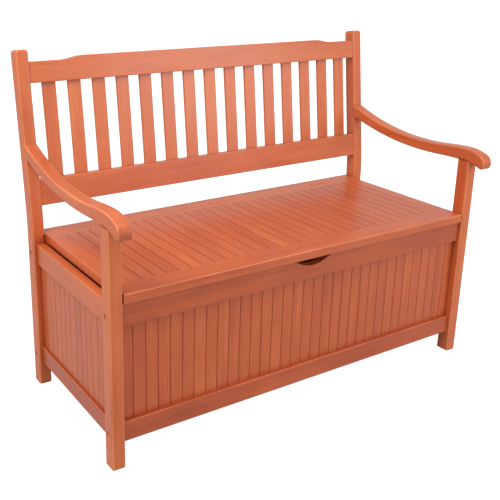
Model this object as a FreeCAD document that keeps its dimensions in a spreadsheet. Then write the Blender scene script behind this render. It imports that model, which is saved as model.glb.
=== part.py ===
import FreeCAD
import Part
import Sketcher
import math
import os
import re

# Garden storage bench: a slatted back, two swept arms and a hinged seat lid over a boarded box.
# Millimetres.  +X runs along the seat, the front faces -Y, +Z is up, and the origin is on the
# ground under the middle of the whole bench.

SIZES = [
    ("cut_over", 1, "how far a cutting shape runs past the wood"),
    # the four uprights
    ("bench_length", 1200, "over the outer faces of the legs"),
    ("front_reach", 254.75, "from the origin forward to the front face of the front legs"),
    ("base_depth", 508, "front face of the front legs to rear face of the rear posts"),
    ("leg_wide", 35, "legs and posts, along the bench"),
    ("leg_deep", 42, "legs and posts, front to back"),
    ("post_run", 448, "rear post above the bend, along its slope"),
    ("post_round", 9, "rounding of the post's top"),
    ("edge_round", 6, "rounding of long edges on legs and posts"),
    ("lean_angle", 6.92, "degrees that the back leans from upright"),
    ("bend_height", 500, "height where the upright and the leaning faces would meet"),
    ("bend_radius", 1000, "curve of the post's front face at the bend"),
    # the box
    ("rail_inset", 10, "front and back rails, in from the faces of the legs"),
    ("rail_thick", 24, "front and back rails"),
    ("board_inset", 22, "front and back boards, in from the faces of the legs"),
    ("board_thick", 8, "wall boards"),
    ("side_rail_inset", 11, "side rails, in from the outer faces of the legs"),
    ("side_low_thick", 18, "lower side rails"),
    ("side_top_thick", 25, "upper side rails"),
    ("side_board_inset", 18, "side boards, in from the outer faces of the legs"),
    ("low_rail_low", 64, "underside of the front and back lower rails"),
    ("side_rail_low", 67.5, "underside of the side lower rails"),
    ("low_rail_high", 117, "top of the lower rails"),
    ("top_rail_low", 367, "underside of the upper rails"),
    ("groove_deep", 9, "groove in the rails that takes the boards"),
    ("board_entry", 8, "how far the boards stand in the grooves"),
    ("rail_round", 2, "rounding of rail edges"),
    ("tenon_long", 10, "side rail tenons into legs and posts"),
    ("tenon_thick", 10, "side rail tenons"),
    ("tenon_shoulder", 8, "side rail tenons, in from the rail's edges"),
    ("front_board_count", 33, "boards across the front and the back"),
    ("side_board_count", 13, "boards across each side"),
    ("joint_gap", 0.25, "half of the open joint between boards"),
    ("joint_deep", 2, "depth of the open joint"),
    ("joint_close", 0.05, "half of the hairline left behind the open joint"),
    ("joint_bevel", 1.4, "bevel along the joint"),
    ("notch_half", 92, "half the width of the finger notch"),
    ("notch_deep", 22.5, "depth of the finger notch"),
    ("notch_radius", 92, "radius of the bottom of the finger notch"),
    # the floor
    ("cleat_wide", 18, "floor cleats, front to back"),
    ("cleat_tall", 16, "floor cleats"),
    ("floor_thick", 10, "floor boards"),
    ("floor_count", 14, "floor boards"),
    ("floor_gap", 3, "drain gap between floor boards"),
    ("floor_side_gap", 1, "floor boards to the rails' inner faces"),
    ("floor_clear", 2, "floor, in from the legs' inner faces"),
    # the seat
    ("seat_height", 452.5, "top of the seat"),
    ("lid_thick", 25, "lid frame and rear seat board"),
    ("lid_side_gap", 2.5, "lid to leg and to post, at each end"),
    ("side_air_gap", 1.5, "under the lid, above the side rails"),
    ("lid_front_wide", 60, "front rail of the lid"),
    ("lid_rear_wide", 28, "rear rail of the lid"),
    ("seam_depth", 464.5, "hinge line, behind the front face of the legs"),
    ("seam_half_gap", 0.6, "half of the gap between lid and rear seat board"),
    ("seam_round", 0.8, "rounding of both edges along the seam"),
    ("lid_edge_round", 3, "rounding of the lid's front edges"),
    ("lid_slat_pitch", 34.5, "slats of the lid"),
    ("lid_slat_count", 30, "slats of the lid"),
    ("lid_slat_thick", 16, "slats of the lid"),
    ("lid_tenon_long", 12, "end rails of the lid into its front and rear rails"),
    ("lid_tenon_thick", 10, "end rails of the lid"),
    ("lid_tenon_shoulder", 8, "end rails of the lid"),
    ("batten_wide", 44, "battens under the lid"),
    ("batten_thick", 18, "battens under the lid"),
    ("batten_front", 120, "front batten's middle, behind the front face of the legs"),
    ("batten_rear", 376, "rear batten's middle, behind the front face of the legs"),
    # the back, measured in its own leaning plane
    ("back_inset", 4.5, "back rails, behind the faces of the posts"),
    ("back_rail_thick", 26, "back rails"),
    ("low_back_low", 32, "lower back rail, above the bend"),
    ("low_back_high", 103.5, "lower back rail, above the bend"),
    ("high_back_low", 360, "upper back rail, above the bend"),
    ("high_back_end", 416, "top of the upper back rail at its ends"),
    ("high_back_crest", 425, "top of the upper back rail in the middle"),
    ("crest_inner", 403, "half length of the raised middle"),
    ("crest_outer", 475, "where the raised middle has run out"),
    ("back_tenon_long", 20, "back rail tenons into the posts"),
    ("back_tenon_thick", 12, "back rail tenons"),
    ("back_tenon_shoulder", 9, "back rail tenons, in from the rail's edges"),
    ("slat_count", 15, "slats of the back"),
    ("slat_wide", 38, "slats of the back"),
    ("slat_thick", 9, "slats of the back"),
    ("slat_entry", 14, "how far the slats stand in the rails"),
    ("slat_round", 1.5, "rounding of slat edges"),
    # the arms
    ("arm_wide", 36.5, "arms, along the bench, flush with the outer faces of the legs"),
    ("arm_seat", 613, "top of the front legs"),
    ("arm_low", 609.5, "lowest point under the arm's sweep"),
    ("arm_low_depth", 170, "where that is, behind the front face of the legs"),
    ("arm_low_radius", 987, "sweep of the underside"),
    ("arm_top", 641, "lowest point on top of the arm's sweep"),
    ("arm_top_depth", 185, "where that is, behind the front face of the legs"),
    ("arm_top_radius", 830, "sweep of the top"),
    ("arm_crest", 650.4, "top of the arm above the front leg"),
    ("arm_crest_depth", 22, "where that is, behind the front face of the legs"),
    ("arm_straight", 20, "straight rear end of both sweeps"),
    ("arm_flat", 45, "length of the flat that sits on the leg"),
    ("nose_centre_reach", 26, "middle of the rounded nose, ahead of the legs"),
    ("nose_centre_height", 615.5, "middle of the rounded nose"),
    ("nose_radius", 25.5, "rounded nose"),
    ("nose_tip_reach", 43.7, "lower tip of the nose, ahead of the legs"),
    ("nose_tip_round", 10, "rounding of the lower tip"),
    ("arm_round", 6, "rounding of the arm's long edges"),
    ("arm_tenon_thick", 12, "tenons at both ends of the arm"),
    ("arm_tenon_long", 22, "rear tenon into the post"),
    ("arm_tenon_low", 668, "underside of the rear tenon"),
    ("arm_tenon_high", 690, "top of the rear tenon"),
    ("leg_tenon_tall", 20, "tenon on top of the front leg"),
    ("leg_tenon_deep", 26, "tenon on top of the front leg, front to back"),
    ("leg_tenon_middle", 25, "its middle, behind the front face of the leg"),
    ("arm_pin_radius", 2.6, "pins through the arm joints"),
    ("arm_pin_height", 618, "pins above the front leg"),
    ("arm_pin_half_pitch", 6.5, "half the distance between those two pins"),
    ("arm_pin_length", 25, "pins, in from the inner faces of legs and posts"),
    ("rear_pin_depth", 29, "rear pin, behind the foot of the post's front face"),
    ("rear_pin_height", 684, "rear pin"),
    # bolts and barrel nuts
    ("bolt_radius", 3, "frame bolts"),
    ("bolt_length", 74, "frame bolts, under the head"),
    ("bolt_head_radius", 6.5, "frame bolts"),
    ("bolt_head_tall", 4.5, "frame bolts"),
    ("bolt_recess", 6, "depth of the counterbore"),
    ("bolt_recess_radius", 7, "counterbore"),
    ("bolt_play", 0.3, "bolt in its hole"),
    ("bolt_spare", 4, "bolt hole, past the bolt's end"),
    ("socket_radius", 2.9, "hexagon socket, over its corners"),
    ("socket_deep", 3, "hexagon socket"),
    ("nut_radius", 5, "barrel nuts"),
    ("nut_length", 16, "barrel nuts"),
    ("nut_play", 0.05, "barrel nut in its hole and on its bolt"),
    ("nut_reach", 38, "barrel nut, in from the end of its rail"),
    # hinges
    ("hinge_count", 3, "hinges along the seam"),
    ("hinge_pitch", 400, "distance between hinges"),
    ("hinge_length", 60, "each hinge"),
    ("knuckle_count", 5, "knuckles of each hinge"),
    ("knuckle_radius", 2.6, "knuckles"),
    ("knuckle_gap", 0.4, "between knuckles"),
    ("hinge_pin_radius", 1.2, "hinge pins"),
    ("hinge_pin_play", 0.05, "pin in the knuckles"),
    ("leaf_thick", 1.4, "hinge leaves"),
    ("leaf_drop", 22, "hinge leaves, below the hinge line"),
    ("leaf_clear", 3.3, "leaf top below the hinge line, between its own knuckles"),
    ("leaf_half_gap", 0.1, "half of the gap between the closed leaves"),
    ("knuckle_play", 0.6, "wood cut clear around the knuckles"),
    ("leaf_screw_radius", 1.5, "leaf screws"),
    ("leaf_screw_head", 2.8, "leaf screws"),
    ("leaf_screw_long", 16, "leaf screws"),
    ("leaf_screw_pitch", 36, "between the two screws of a leaf"),
    ("leaf_screw_drop", 13, "leaf screws, below the hinge line"),
    # batten screws
    ("batten_screw_radius", 2, "batten screws"),
    ("batten_screw_head", 4, "batten screws"),
    ("batten_screw_long", 28, "batten screws"),
    ("batten_screw_count", 6, "screws in each batten"),
    ("batten_screw_pitch", 172.5, "between the screws of a batten, five slats"),
]

doc = FreeCAD.newDocument("StorageBench")
sheet = doc.addObject("Spreadsheet::Sheet", "Sizes")
for row, (alias, number, note) in enumerate(SIZES, 1):
    sheet.set(f"A{row}", str(number))
    sheet.setAlias(f"A{row}", alias)
    sheet.set(f"B{row}", note)
doc.recompute()

SIZE_NAME = re.compile(r"[a-z]+(?:_[a-z]+)+")
TOUCH = 0.01    # nearer than this counts as touching
SHORT = 1.0     # an edge shorter than this is only part of a corner
PARALLEL = 1e-6    # sine of an angle too small to matter
V = FreeCAD.Vector
ALONG_X = V(1, 0, 0)
ALONG_Y = V(0, 1, 0)
ALONG_Z = V(0, 0, 1)

# Places that many pieces share, as formulas of the sheet's cells.
LEFT = "-bench_length / 2"
LEG_INNER = "(bench_length / 2 - leg_wide)"
FRONT = "-front_reach"
REAR = "(base_depth - front_reach)"
POST_FACE = "(base_depth - front_reach - leg_deep)"
LID_LOW = "(seat_height - lid_thick)"
SEAM = "(seam_depth - front_reach)"
HINGE_HEIGHT = "(seat_height - seam_round)"
LID_HALF = "(bench_length / 2 - leg_wide - lid_side_gap)"
LID_SLATS_HALF = "(lid_slat_pitch * lid_slat_count / 2)"
LID_REAR = "(seam_depth - front_reach - seam_half_gap)"
BACK_MIDDLE = "(back_inset + back_rail_thick / 2)"

nodes = []


def formula(text):
    """The text with every size name pointing at its cell."""
    return SIZE_NAME.sub(lambda found: "Sizes." + found.group(), str(text))


def size(text):
    """The number that a formula of sizes comes to."""
    return float(sheet.evalExpression(formula(text)))


def bind(thing, settings):
    """Bind several properties of a thing to formulas of sizes."""
    for name, text in settings.items():
        thing.setExpression(name, formula(text))


def node(thing, name):
    """Name a finished sub-part and put it on the list of those to write."""
    thing.Label = name
    nodes.append(thing)
    return thing


def stand(thing, across, deep, up):
    """Put a piece at a place in the bench's own frame, each coordinate a formula."""
    bind(thing, {".Placement.Base.x": across, ".Placement.Base.y": deep, ".Placement.Base.z": up})
    return thing


def aim(thing, along):
    """Point a piece that was made along Z in another direction."""
    thing.Placement = FreeCAD.Placement(V(), FreeCAD.Rotation(ALONG_Z, along))
    return thing


def span(name, low, high):
    """A block as large as the space between two opposite corners."""
    thing = doc.addObject("Part::Box", name)
    for side, start, stop in zip(("Length", "Width", "Height"), low, high):
        thing.setExpression(side, formula(f"({stop}) - ({start})"))
    return thing


def block(name, low, high):
    """A block between two opposite corners, each coordinate a formula."""
    return stand(span(name, low, high), *low)


def lean_block(name, low, high):
    """A block between two corners that are given in the plane of the back."""
    return lean(span(name, low, high), *low)


def cylinder(name, radius, length, along):
    """A round bar along a direction, not yet put in its place."""
    thing = doc.addObject("Part::Cylinder", name)
    bind(thing, {"Radius": radius, "Height": length})
    return aim(thing, along)


def rod(name, start, along, radius, length):
    """A round bar from a starting point, along a direction."""
    return stand(cylinder(name, radius, length, along), *start)


def countersunk(name, start, along, head, shank, sink, length):
    """A countersunk screw from the middle of its head, along a direction."""
    cone = doc.addObject("Part::Cone", f"{name}_head")
    bind(cone, {"Radius1": head, "Radius2": shank, "Height": sink})
    stand(aim(cone, along), *start)
    return joined(name, [cone, rod(f"{name}_shank", start, along, shank, length)])


def lean(thing, across, behind, above):
    """Put a piece in the plane of the back: along it, behind the post's face, above the bend."""
    turn = FreeCAD.Rotation(ALONG_X, -size("lean_angle"))
    thing.Placement = FreeCAD.Placement(V(), turn.multiply(thing.Placement.Rotation))
    cos = "cos(lean_angle * 1deg)"
    sin = "sin(lean_angle * 1deg)"
    bind(thing, {
        ".Placement.Base.x": across,
        ".Placement.Base.y": f"{POST_FACE} + ({behind}) * {cos} + ({above}) * {sin}",
        ".Placement.Base.z": f"bend_height - ({behind}) * {sin} + ({above}) * {cos}",
    })
    return thing


def joined(name, pieces):
    """Several solids made one."""
    thing = doc.addObject("Part::MultiFuse", name)
    thing.Shapes = pieces
    return thing


def cut(name, base, tools):
    """A solid with other solids taken out of it."""
    for number, tool in enumerate(tools):
        result = doc.addObject("Part::Cut", f"{name}_{number}")
        result.Base = base
        result.Tool = tool
        base = result
    return base


def rounded(name, base, radius, chosen):
    """A solid with the edges that a test picks rounded."""
    doc.recompute()
    reach = size(radius)
    thing = doc.addObject("Part::Fillet", name)
    thing.Base = base
    thing.Edges = [(i, reach, reach) for i, edge in enumerate(base.Shape.Edges, 1) if chosen(edge)]
    return thing


def parallel_to(direction):
    """A test for straight edges that run along a direction."""
    def test(edge):
        start = edge.firstVertex().Point
        finish = edge.lastVertex().Point
        run = finish.sub(start)
        straight = edge.Curve.TypeId == "Part::GeomLine"
        return straight and run.cross(direction).Length < PARALLEL * run.Length
    return test


def mirrored(source, name):
    """The other-handed copy of a piece, across the middle of the bench."""
    thing = doc.addObject("Part::Mirroring", name)
    thing.Source = source
    thing.Normal = ALONG_X
    return thing


def repeated(name, source, offsets):
    """Separate copies of one solid, each moved by an offset."""
    doc.recompute()
    thing = doc.addObject("Part::Feature", name)
    thing.Shape = Part.makeCompound([source.Shape.translated(offset) for offset in offsets])
    thing.Placement = FreeCAD.Placement()
    return thing


def together(name, pieces):
    """Several separate solids kept as one group."""
    thing = doc.addObject("Part::Compound", name)
    thing.Links = pieces
    return thing


def body_on(name, role):
    """An empty body with a sketch on one of its own origin planes."""
    body = doc.addObject("PartDesign::Body", name)
    sketch = body.newObject("Sketcher::SketchObject", name + "_sketch")
    plane = [item for item in body.Origin.OriginFeatures if item.Role == role][0]
    sketch.AttachmentSupport = (plane, [""])
    sketch.MapMode = "FlatFace"
    return body, sketch


def pad(body, sketch, length, reverse=False):
    """The sketch of a body, raised to a length."""
    feature = body.newObject("PartDesign::Pad", body.Name + "_pad")
    feature.Profile = sketch
    feature.Reversed = reverse
    feature.setExpression("Length", formula(length))
    sketch.Visibility = False
    return feature


def polygon(sketch, corners):
    """A closed outline of straight sides, each corner held by two bound dimensions."""
    places = [V(size(across), size(up), 0) for across, up in corners]
    for start, finish in zip(places, places[1:] + places[:1]):
        sketch.addGeometry(Part.LineSegment(start, finish), False)
    for side, (across, up) in enumerate(corners):
        following = (side + 1) % len(corners)
        sketch.addConstraint(Sketcher.Constraint("Coincident", side, 2, following, 1))
        for kind, text in (("DistanceX", across), ("DistanceY", up)):
            held = Sketcher.Constraint(kind, -1, 1, side, 1, size(text))
            number = sketch.addConstraint(held)
            sketch.setExpression(f"Constraints[{number}]", formula(text))


def arc(centre, radius, start, finish):
    """An arc about a centre between two directions in radians, the second larger."""
    return Part.ArcOfCircle(Part.Circle(centre, ALONG_Z, radius), start, finish)


def direction(centre, point):
    """The direction of a point seen from a centre, in radians."""
    return math.atan2(point.y - centre.y, point.x - centre.x)


def sweep_join(hollow, hollow_radius, crest):
    """Where a hollow arc runs smoothly into a crest, and the radius of that crest."""
    rise = hollow.y - crest.y
    half = ((hollow.x - crest.x) ** 2 + rise ** 2 - hollow_radius ** 2) / (2 * (hollow_radius - rise))
    middle = V(crest.x, crest.y - half, 0)
    meeting = middle.add(hollow.sub(middle).normalize().multiply(half))
    return middle, half, meeting


def row_of(count, pitch):
    """Offsets along the bench of a number of things at an even pitch, about its middle."""
    return [V((i - (count - 1) / 2) * pitch, 0, 0) for i in range(count)]


# ---------------------------------------------------------------- frame bolts

def make_bolt(name, middle):
    """The bolt at the left-hand end of a rail, with its hexagon socket."""
    seat = f"{LEFT} + bolt_recess"
    top = f"{seat} - bolt_head_tall"
    head = rod(f"{name}_head", (top, *middle), ALONG_X, "bolt_head_radius", "bolt_head_tall")
    shank = rod(f"{name}_shank", (seat, *middle), ALONG_X, "bolt_radius", "bolt_length")
    socket = doc.addObject("Part::Prism", f"{name}_socket")
    socket.Polygon = 6
    bind(socket, {"Circumradius": "socket_radius", "Height": "socket_deep"})
    stand(aim(socket, ALONG_X), top, *middle)
    return cut(f"{name}_bolt", joined(f"{name}_bolt_blank", [head, shank]), [socket])


def make_bolt_holes(name, middle):
    """The hole for a bolt and the recess for its head."""
    start = (f"{LEFT} - cut_over", *middle)
    hole = rod(f"{name}_hole", start, ALONG_X, "bolt_radius + bolt_play",
               "cut_over + bolt_recess + bolt_length + bolt_spare")
    recess = rod(f"{name}_recess", start, ALONG_X, "bolt_recess_radius", "cut_over + bolt_recess")
    return hole, recess


def make_nut(name, middle, opening):
    """The barrel nut of a rail's end and the blind hole that it sits in."""
    deep, up = middle
    into = V(0, -opening, 0)
    reach = f"{LEFT} + leg_wide + nut_reach"
    blank = rod(f"{name}_nut_blank", (reach, f"{deep} + {opening} * nut_length / 2", up), into,
                "nut_radius", "nut_length")
    thread = rod(f"{name}_thread", (f"{reach} - 2 * nut_radius", deep, up), ALONG_X,
                 "bolt_radius + nut_play", "4 * nut_radius")
    pocket = rod(f"{name}_nut_hole", (reach, f"{deep} + {opening} * rail_thick / 2", up), into,
                 "nut_radius + nut_play", "(nut_length + rail_thick) / 2")
    return cut(f"{name}_nut", blank, [thread]), pocket


def make_fixing(name, middle, opening):
    """One rail end's bolt, barrel nut and the holes they need, at the left-hand upright.

    middle holds the depth and height of the rail's middle.  opening is the side of the rail
    that the nut goes in from, 1 towards the rear and -1 towards the front."""
    hole, recess = make_bolt_holes(name, middle)
    nut, pocket = make_nut(name, middle, opening)
    return {
        "bolt": make_bolt(name, middle),
        "nut": nut,
        "upright": [hole, recess],
        "rail": [hole, pocket],
    }


def both_ends(tools):
    """Tools at the left-hand end of a rail and the same ones at its right-hand end."""
    return tools + [mirrored(tool, tool.Name + "_right") for tool in tools]


def rail_middle(face, inward):
    """Depth of the middle of a front or back rail of the box."""
    return f"({face} + {inward} * (rail_inset + rail_thick / 2))"


TOP_RAIL_MIDDLE = f"((top_rail_low + {LID_LOW}) / 2)"
LOW_RAIL_MIDDLE = "((low_rail_low + low_rail_high) / 2)"

fixings = {
    "front_top": make_fixing("front_top", (rail_middle(FRONT, 1), TOP_RAIL_MIDDLE), 1),
    "front_low": make_fixing("front_low", (rail_middle(FRONT, 1), LOW_RAIL_MIDDLE), 1),
    "back_top": make_fixing("back_top", (rail_middle(REAR, -1), TOP_RAIL_MIDDLE), -1),
    "back_low": make_fixing("back_low", (rail_middle(REAR, -1), LOW_RAIL_MIDDLE), -1),
}


def make_back_tenons(level, low, high):
    """The tenons at both ends of a back rail, as one bar that runs right through it."""
    return lean_block(
        f"back_{level}_tenons",
        (f"-{LEG_INNER} - back_tenon_long", f"{BACK_MIDDLE} - back_tenon_thick / 2",
         f"{low} + back_tenon_shoulder"),
        (f"{LEG_INNER} + back_tenon_long", f"{BACK_MIDDLE} + back_tenon_thick / 2",
         f"{high} - back_tenon_shoulder"),
    )


back_tenons = {
    "top": make_back_tenons("top", "high_back_low", "high_back_end"),
    "low": make_back_tenons("low", "low_back_low", "low_back_high"),
}


# ------------------------------------------------------------------ side frames

def make_side_tenon(level, thick, low, high):
    """The tenon that runs out of both ends of a side rail."""
    inner = f"{LEFT} + side_rail_inset + ({thick} - tenon_thick) / 2"
    return block(
        f"side_{level}_tenon",
        (inner, f"{FRONT} + leg_deep - tenon_long", f"{low} + tenon_shoulder"),
        (f"{inner} + tenon_thick", f"{POST_FACE} + tenon_long", f"{high} - tenon_shoulder"),
    )


def make_side_rail(level, thick, low, high, tenon, groove_low, groove_high):
    """A left-hand side rail with its tenons and the groove for the side boards."""
    blank = block(
        f"side_{level}_blank",
        (f"{LEFT} + side_rail_inset", f"{FRONT} + leg_deep", low),
        (f"{LEFT} + side_rail_inset + {thick}", POST_FACE, high),
    )
    eased = rounded(f"side_{level}_eased", blank, "rail_round", parallel_to(ALONG_Y))
    groove = block(
        f"side_{level}_groove",
        (f"{LEFT} + side_board_inset", f"{FRONT} + leg_deep", groove_low),
        (f"{LEFT} + side_board_inset + board_thick", POST_FACE, groove_high),
    )
    return cut(f"side_{level}_rail", joined(f"side_{level}_whole", [eased, tenon]), [groove])


def make_front_leg(tenons):
    """The left-hand front leg, with a tenon on top and mortises for the side rails."""
    blank = block("front_leg_blank", (LEFT, FRONT, "0"),
                  (f"{LEFT} + leg_wide", f"{FRONT} + leg_deep", "arm_seat"))
    eased = rounded("front_leg_eased", blank, "edge_round", parallel_to(ALONG_Z))
    inner = f"{LEFT} + (leg_wide - arm_tenon_thick) / 2"
    near = f"{FRONT} + leg_tenon_middle - leg_tenon_deep / 2"
    tenon = block(
        "front_leg_tenon",
        (inner, near, "arm_seat - cut_over"),
        (f"{inner} + arm_tenon_thick", f"{near} + leg_tenon_deep", "arm_seat + leg_tenon_tall"),
    )
    whole = joined("front_leg_whole", [eased, tenon])
    holes = fixings["front_top"]["upright"] + fixings["front_low"]["upright"]
    return cut("front_leg", whole, tenons + holes), tenon


def post_lines():
    """Where the post's front face bends: the bend's centre, and the upright's top."""
    turn = math.radians(size("lean_angle"))
    start = size("bend_height") - size("bend_radius") * math.tan(turn / 2)
    centre = V(size(POST_FACE) + size("bend_radius"), start, 0)
    return turn, centre


def sloping(across, behind, above):
    """A point of the back's plane in the bench's own frame."""
    turn = math.radians(size("lean_angle"))
    return V(across,
             size(POST_FACE) + behind * math.cos(turn) + above * math.sin(turn),
             size("bend_height") - behind * math.sin(turn) + above * math.cos(turn))


def draw_post(sketch):
    """The post's side view: upright below, a gentle bend, then leaning back."""
    turn, centre = post_lines()
    run = size("post_run")
    deep = size("leg_deep")
    ends = {}
    front_radius = size("bend_radius")
    for side, radius, behind in (("front", front_radius, 0), ("rear", front_radius - deep, deep)):
        foot = V(centre.x - radius, 0, 0)
        low = V(centre.x - radius, centre.y, 0)
        high = centre.add(V(-radius * math.cos(turn), radius * math.sin(turn), 0))
        top = sloping(0, behind, run)
        ends[side] = (foot, V(top.y, top.z, 0))
        sketch.addGeometry(Part.LineSegment(foot, low), False)
        sketch.addGeometry(arc(centre, radius, math.pi - turn, math.pi), False)
        sketch.addGeometry(Part.LineSegment(high, V(top.y, top.z, 0)), False)
    sketch.addGeometry(Part.LineSegment(ends["front"][0], ends["rear"][0]), False)
    sketch.addGeometry(Part.LineSegment(ends["front"][1], ends["rear"][1]), False)


def make_rear_post(tools):
    """The left-hand rear post, bent above the seat, its top and long edges rounded."""
    body, sketch = body_on("rear_post_body", "YZ_Plane")
    draw_post(sketch)
    pad(body, sketch, "leg_wide")
    body.setExpression(".Placement.Base.x", formula(LEFT))
    shoulder = sloping(0, size("leg_deep"), size("post_run")).z - SHORT
    across_top = sloping(0, 1, 0).sub(sloping(0, 0, 0))
    runs_back = parallel_to(across_top)
    crowned = rounded(
        "rear_post_crowned", body, "post_round",
        lambda edge: runs_back(edge) and edge.firstVertex().Point.z > shoulder,
    )
    level = parallel_to(ALONG_X)

    def on_front_or_rear(edge):
        ends = (edge.firstVertex().Point, edge.lastVertex().Point)
        if min(point.z for point in ends) > shoulder - size("post_round") and level(edge):
            return True
        if level(edge):
            return False
        depths = [post_depth(point) for point in ends + (edge.valueAt(
            (edge.FirstParameter + edge.LastParameter) / 2),)]
        near = [abs(depth) < TOUCH for depth in depths]
        far = [abs(depth - size("leg_deep")) < TOUCH for depth in depths]
        return all(near) or all(far)

    eased = rounded("rear_post_eased", crowned, "edge_round", on_front_or_rear)
    return cut("rear_post", eased, tools)


def post_depth(point):
    """How far a point lies behind the post's front face."""
    turn, centre = post_lines()
    if point.z <= centre.y:
        return point.y - size(POST_FACE)
    flat = V(point.y, point.z, 0)
    if math.pi - direction(centre, flat) <= turn:
        return size("bend_radius") - flat.distanceToPoint(centre)
    return (point.y - size(POST_FACE)) * math.cos(turn) - (point.z - size("bend_height")) * math.sin(turn)


# ------------------------------------------------------------------------- arms

def run_to_post(centre, radius):
    """The rear of a sweep: the angle where its arc ends, that point, and where it meets the post.

    The last stretch is straight, as it would be sawn."""
    turn = math.radians(size("lean_angle"))
    foot = V(size(POST_FACE), size("bend_height"), 0)
    slope = V(math.sin(turn), math.cos(turn), 0)
    away = centre.sub(foot)
    reach = away.dot(slope)
    up = reach - math.sqrt(reach ** 2 - away.dot(away) + radius ** 2)
    angle = direction(centre, foot.add(V(slope).multiply(up))) - size("arm_straight") / radius
    leaves = centre.add(V(math.cos(angle), math.sin(angle), 0).multiply(radius))
    tangent = V(-math.sin(angle), math.cos(angle), 0)
    square = V(slope.y, -slope.x, 0)
    along = foot.sub(leaves).dot(square) / tangent.dot(square)
    return angle, leaves, leaves.add(tangent.multiply(along))


def draw_arm(sketch):
    """The arm's side view: two long hollow sweeps, a low crest over the leg and a round nose."""
    front = size(FRONT)
    under = V(front + size("arm_low_depth"), size("arm_low") + size("arm_low_radius"), 0)
    over = V(front + size("arm_top_depth"), size("arm_top") + size("arm_top_radius"), 0)
    flat_rear = V(front + size("arm_flat"), size("arm_seat"), 0)
    flat_front = V(front, size("arm_seat"), 0)
    crest = V(front + size("arm_crest_depth"), size("arm_crest"), 0)
    nose = V(front - size("nose_centre_reach"), size("nose_centre_height"), 0)
    nose_radius = size("nose_radius")
    tip_in = size("nose_tip_reach") - size("nose_centre_reach")
    tip = nose.add(V(-tip_in, -math.sqrt(nose_radius ** 2 - tip_in ** 2), 0))

    under_radius = size("arm_low_radius")
    over_radius = size("arm_top_radius")
    low_angle, low_end, low_rear = run_to_post(under, under_radius)
    high_angle, high_end, high_rear = run_to_post(over, over_radius)
    seat_middle, seat_radius, under_join = sweep_join(under, under_radius, flat_rear)
    crest_middle, crest_radius, over_join = sweep_join(over, over_radius, crest)
    # the crest rolls over into the nose along one more arc, level at the crest
    away = crest.sub(nose)
    roll_radius = (away.x ** 2 + away.y ** 2 - nose_radius ** 2) / (2 * (away.y - nose_radius))
    roll = V(crest.x, crest.y - roll_radius, 0)
    turn_over = direction(roll, nose)

    half_turn = math.pi / 2
    for piece in (
        Part.LineSegment(low_rear, low_end),
        arc(under, under_radius, direction(under, under_join), low_angle),
        arc(seat_middle, seat_radius, direction(seat_middle, under_join), half_turn),
        Part.LineSegment(flat_rear, flat_front),
        Part.LineSegment(flat_front, tip),
        arc(nose, nose_radius, turn_over, direction(nose, tip) + 2 * math.pi),
        arc(roll, roll_radius, half_turn, turn_over),
        arc(crest_middle, crest_radius, direction(crest_middle, over_join), half_turn),
        arc(over, over_radius, direction(over, over_join), high_angle),
        Part.LineSegment(high_end, high_rear),
        Part.LineSegment(high_rear, low_rear),
    ):
        sketch.addGeometry(piece, False)
    return tip


def make_arm_tenon():
    """The tenon at the back of the arm."""
    inner = f"{LEFT} + (leg_wide - arm_tenon_thick) / 2"
    return block("arm_tenon", (inner, POST_FACE, "arm_tenon_low"),
                 (f"{inner} + arm_tenon_thick", f"{POST_FACE} + 2 * arm_tenon_long", "arm_tenon_high"))


def make_arm(tenon, leg_tenon, pins):
    """The left-hand arm."""
    body, sketch = body_on("arm_body", "YZ_Plane")
    tip = draw_arm(sketch)
    pad(body, sketch, "arm_wide")
    body.setExpression(".Placement.Base.x", formula(LEFT))

    def at_tip(edge):
        point = edge.firstVertex().Point
        return parallel_to(ALONG_X)(edge) and abs(point.y - tip.x) < TOUCH and abs(point.z - tip.y) < TOUCH

    tipped = rounded("arm_tipped", body, "nose_tip_round", at_tip)

    def along_side(edge):
        ends = (edge.firstVertex().Point, edge.lastVertex().Point)
        if abs(ends[0].x - ends[1].x) > TOUCH:
            return False
        on_seat = all(abs(point.z - size("arm_seat")) < TOUCH for point in ends)
        on_post = all(abs(post_depth(point)) < TOUCH for point in ends)
        return not on_seat and not on_post

    eased = rounded("arm_eased", tipped, "arm_round", along_side)
    whole = joined("arm_whole", [eased, tenon])
    return cut("arm", whole, [leg_tenon] + pins)


def make_arm_pins():
    """The left-hand arm's pins: two through the front joint, one through the rear joint.

    Each ends flush with the inner face of the piece that it enters."""
    start = f"{LEFT} + leg_wide - arm_pin_length"
    middle = f"{FRONT} + leg_tenon_middle"
    through_arm = "arm_pin_length + arm_wide - leg_wide"
    pins = [
        ((start, f"{middle} - arm_pin_half_pitch", "arm_pin_height"), through_arm),
        ((start, f"{middle} + arm_pin_half_pitch", "arm_pin_height"), through_arm),
        ((start, f"{POST_FACE} + rear_pin_depth", "rear_pin_height"), "arm_pin_length"),
    ]
    return [rod(f"arm_pin_{i}", place, ALONG_X, "arm_pin_radius", length)
            for i, (place, length) in enumerate(pins)]


def make_side_boards():
    """The left-hand side's upright boards, face outwards."""
    pitch = f"(({POST_FACE} - {FRONT} - leg_deep) / side_board_count)"
    body, sketch = body_on("side_board", "XY_Plane")
    polygon(sketch, [(depth, across) for across, depth in board_corners(pitch, "board_thick", 1)])
    pad(body, sketch, BOARD_TALL)
    bind(body, {
        ".Placement.Base.x": f"{LEFT} + side_board_inset",
        ".Placement.Base.y": f"{FRONT} + leg_deep + {pitch} / 2",
        ".Placement.Base.z": "low_rail_high - board_entry",
    })
    steps = [V(0, i * size(pitch), 0) for i in range(int(size("side_board_count")))]
    return repeated("side_boards", body, steps)


BOARD_TALL = "(top_rail_low - low_rail_high + 2 * board_entry)"


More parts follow.
